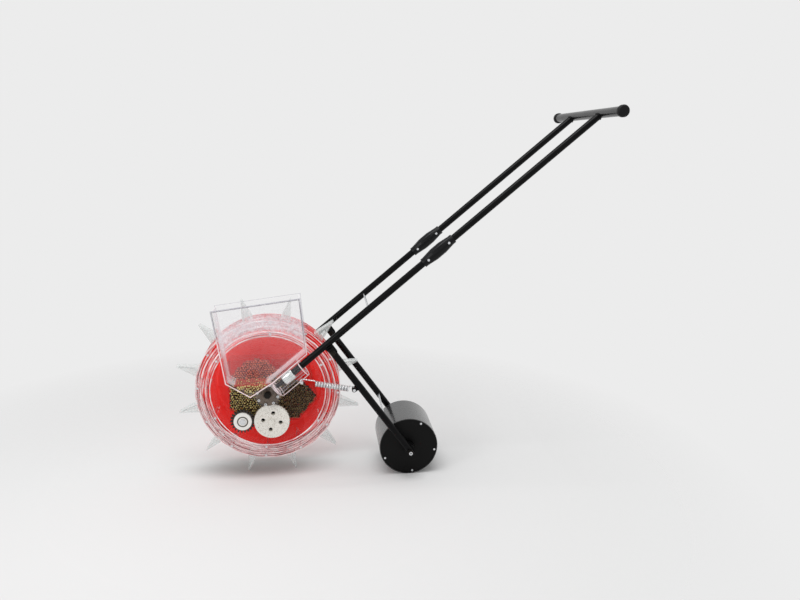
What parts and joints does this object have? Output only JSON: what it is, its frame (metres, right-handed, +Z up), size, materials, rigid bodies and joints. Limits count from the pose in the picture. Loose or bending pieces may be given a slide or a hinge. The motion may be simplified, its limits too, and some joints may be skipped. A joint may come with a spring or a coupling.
{
  "type": "dial seed sower",
  "caption": "Hand-pushed seed sower: a geared clear drum with hinged planting beaks, a seed hopper, a twin-tube handle and a sprung press roller.",
  "frame": {"origin": "on the ground, straight below the drum axle, midway between the handle tubes", "axes": "+Z up, -X is the way the sower is pushed, +X towards the operator, +Y from the hopper side to the far side"},
  "size_m": [1.1891, 0.5, 1.0431],
  "materials": {
    "black_paint": "gloss",
    "black_grip_plastic": "satin",
    "coupler_plastic": "gloss",
    "zinc_steel": "satin",
    "black_oxide": "satin",
    "bearing_steel": "satin",
    "chrome": "polished",
    "hub_casting": "satin",
    "clear_plastic": "clear",
    "red_plastic": "gloss",
    "pinion_plastic": "satin",
    "dial_plastic": "satin",
    "bush_plastic": "satin",
    "seed": "matte"
  },
  "bodies": {
    "frame": {"handlebar": "black_paint", "handlebar_knobs": "black_grip_plastic", "near_upper_tube": "black_paint", "far_upper_tube": "black_paint", "near_lower_tube": "black_paint", "far_lower_tube": "black_paint", "near_coupler_front_half": "coupler_plastic", "near_coupler_back_half": "coupler_plastic", "far_coupler_front_half": "coupler_plastic", "far_coupler_back_half": "coupler_plastic", "coupler_screws": "zinc_steel", "tube_stay": "zinc_steel", "tube_sleeve": "chrome", "tube_stub": "black_grip_plastic", "drum_axle": "zinc_steel", "axle_nuts": "black_oxide", "axle_collars": "zinc_steel", "hub_flange": "hub_casting", "hub_screws": "zinc_steel", "hopper": "clear_plastic", "seed_box": "clear_plastic", "seed_charge": "seed", "pinion_pin": "zinc_steel", "dial_pin": "dial_plastic", "pivot_bolts": "black_oxide", "anchor_pin": "zinc_steel", "press_spring": "zinc_steel"},
    "drum": {"drum_plate": "red_plastic", "drum_rim": "clear_plastic", "front_cover": "clear_plastic", "ring_gear": "clear_plastic", "drum_screws": "zinc_steel", "hub_bearings": "bearing_steel", "beak_bodies": "clear_plastic"},
    "pinion": {"drive_pinion": "pinion_plastic"},
    "dial": {"seed_dial": "dial_plastic"},
    "arm": {"near_arm": "black_paint", "far_arm": "black_paint", "arm_stay": "zinc_steel", "roller_axle": "zinc_steel", "roller_nuts": "zinc_steel", "arm_spring_pin": "zinc_steel"},
    "roller": {"roller_shell": "black_paint", "roller_near_disc": "black_paint", "roller_far_disc": "black_paint", "roller_rivets": "zinc_steel", "roller_bushes": "bush_plastic"},
    "flap_01": {"beak_flap_01": "clear_plastic"},
    "flap_02": {"beak_flap_02": "clear_plastic"},
    "flap_03": {"beak_flap_03": "clear_plastic"},
    "flap_04": {"beak_flap_04": "clear_plastic"},
    "flap_05": {"beak_flap_05": "clear_plastic"},
    "flap_06": {"beak_flap_06": "clear_plastic"},
    "flap_07": {"beak_flap_07": "clear_plastic"},
    "flap_08": {"beak_flap_08": "clear_plastic"},
    "flap_09": {"beak_flap_09": "clear_plastic"},
    "flap_10": {"beak_flap_10": "clear_plastic"},
    "flap_11": {"beak_flap_11": "clear_plastic"},
    "flap_12": {"beak_flap_12": "clear_plastic"}
  },
  "joints": [
    {"name": "drum_spin", "type": "hinge", "parent": "frame", "child": "drum", "pos_m": [0, 0.046, 0.25838], "axis": [0, 1, 0], "continuous": true},
    {"name": "pinion_spin", "type": "hinge", "parent": "frame", "child": "pinion", "pos_m": [-0.07541, -0.042, 0.1709], "axis": [0, 1, 0], "continuous": true},
    {"name": "dial_spin", "type": "hinge", "parent": "frame", "child": "dial", "pos_m": [0.00706, -0.042, 0.16866], "axis": [0, 1, 0], "continuous": true},
    {"name": "arm_swing", "type": "hinge", "parent": "frame", "child": "arm", "pos_m": [0.18442, 0, 0.38655], "axis": [0, -1, 0], "range_deg": [0, 20], "stiffness_Nm_per_rad": 10.6, "springref_deg": -45.84, "deforming": ["press_spring"]},
    {"name": "roller_spin", "type": "hinge", "parent": "arm", "child": "roller", "pos_m": [0.3995, 0, 0.085], "axis": [0, 1, 0], "continuous": true},
    {"name": "flap_01_hinge", "type": "hinge", "parent": "drum", "child": "flap_01", "pos_m": [0.2041, 0.009, 0.32388], "axis": [0, -1, 0], "range_deg": [0, 18], "stiffness_Nm_per_rad": 0.05, "springref_deg": -17.19},
    {"name": "flap_02_hinge", "type": "hinge", "parent": "drum", "child": "flap_02", "pos_m": [0.14401, 0.009, 0.41716], "axis": [0, -1, 0], "range_deg": [0, 18], "stiffness_Nm_per_rad": 0.05, "springref_deg": -17.19},
    {"name": "flap_03_hinge", "type": "hinge", "parent": "drum", "child": "flap_03", "pos_m": [0.04533, 0.009, 0.46789], "axis": [0, -1, 0], "range_deg": [0, 18], "stiffness_Nm_per_rad": 0.05, "springref_deg": -17.19},
    {"name": "flap_04_hinge", "type": "hinge", "parent": "drum", "child": "flap_04", "pos_m": [-0.0655, 0.009, 0.46249], "axis": [0, -1, 0], "range_deg": [0, 18], "stiffness_Nm_per_rad": 0.05, "springref_deg": -17.19},
    {"name": "flap_05_hinge", "type": "hinge", "parent": "drum", "child": "flap_05", "pos_m": [-0.15877, 0.009, 0.4024], "axis": [0, -1, 0], "range_deg": [0, 18], "stiffness_Nm_per_rad": 0.05, "springref_deg": -17.19},
    {"name": "flap_06_hinge", "type": "hinge", "parent": "drum", "child": "flap_06", "pos_m": [-0.20951, 0.009, 0.30372], "axis": [0, -1, 0], "range_deg": [0, 18], "stiffness_Nm_per_rad": 0.05, "springref_deg": -17.19},
    {"name": "flap_07_hinge", "type": "hinge", "parent": "drum", "child": "flap_07", "pos_m": [-0.2041, 0.009, 0.19289], "axis": [0, -1, 0], "range_deg": [0, 18], "stiffness_Nm_per_rad": 0.05, "springref_deg": -17.19},
    {"name": "flap_08_hinge", "type": "hinge", "parent": "drum", "child": "flap_08", "pos_m": [-0.14401, 0.009, 0.09961], "axis": [0, -1, 0], "range_deg": [0, 18], "stiffness_Nm_per_rad": 0.05, "springref_deg": -17.19},
    {"name": "flap_09_hinge", "type": "hinge", "parent": "drum", "child": "flap_09", "pos_m": [-0.04533, 0.009, 0.04888], "axis": [0, -1, 0], "range_deg": [0, 18], "stiffness_Nm_per_rad": 0.05, "springref_deg": -17.19},
    {"name": "flap_10_hinge", "type": "hinge", "parent": "drum", "child": "flap_10", "pos_m": [0.0655, 0.009, 0.05428], "axis": [0, -1, 0], "range_deg": [0, 18], "stiffness_Nm_per_rad": 0.05, "springref_deg": -17.19},
    {"name": "flap_11_hinge", "type": "hinge", "parent": "drum", "child": "flap_11", "pos_m": [0.15877, 0.009, 0.11438], "axis": [0, -1, 0], "range_deg": [0, 18], "stiffness_Nm_per_rad": 0.05, "springref_deg": -17.19},
    {"name": "flap_12_hinge", "type": "hinge", "parent": "drum", "child": "flap_12", "pos_m": [0.20951, 0.009, 0.21305], "axis": [0, -1, 0], "range_deg": [0, 18], "stiffness_Nm_per_rad": 0.05, "springref_deg": -17.19}
  ],
  "couplings": [
    {"joint": "pinion_spin", "follows": "drum_spin", "ratio": 4.5},
    {"joint": "dial_spin", "follows": "drum_spin", "ratio": -3}
  ]
}
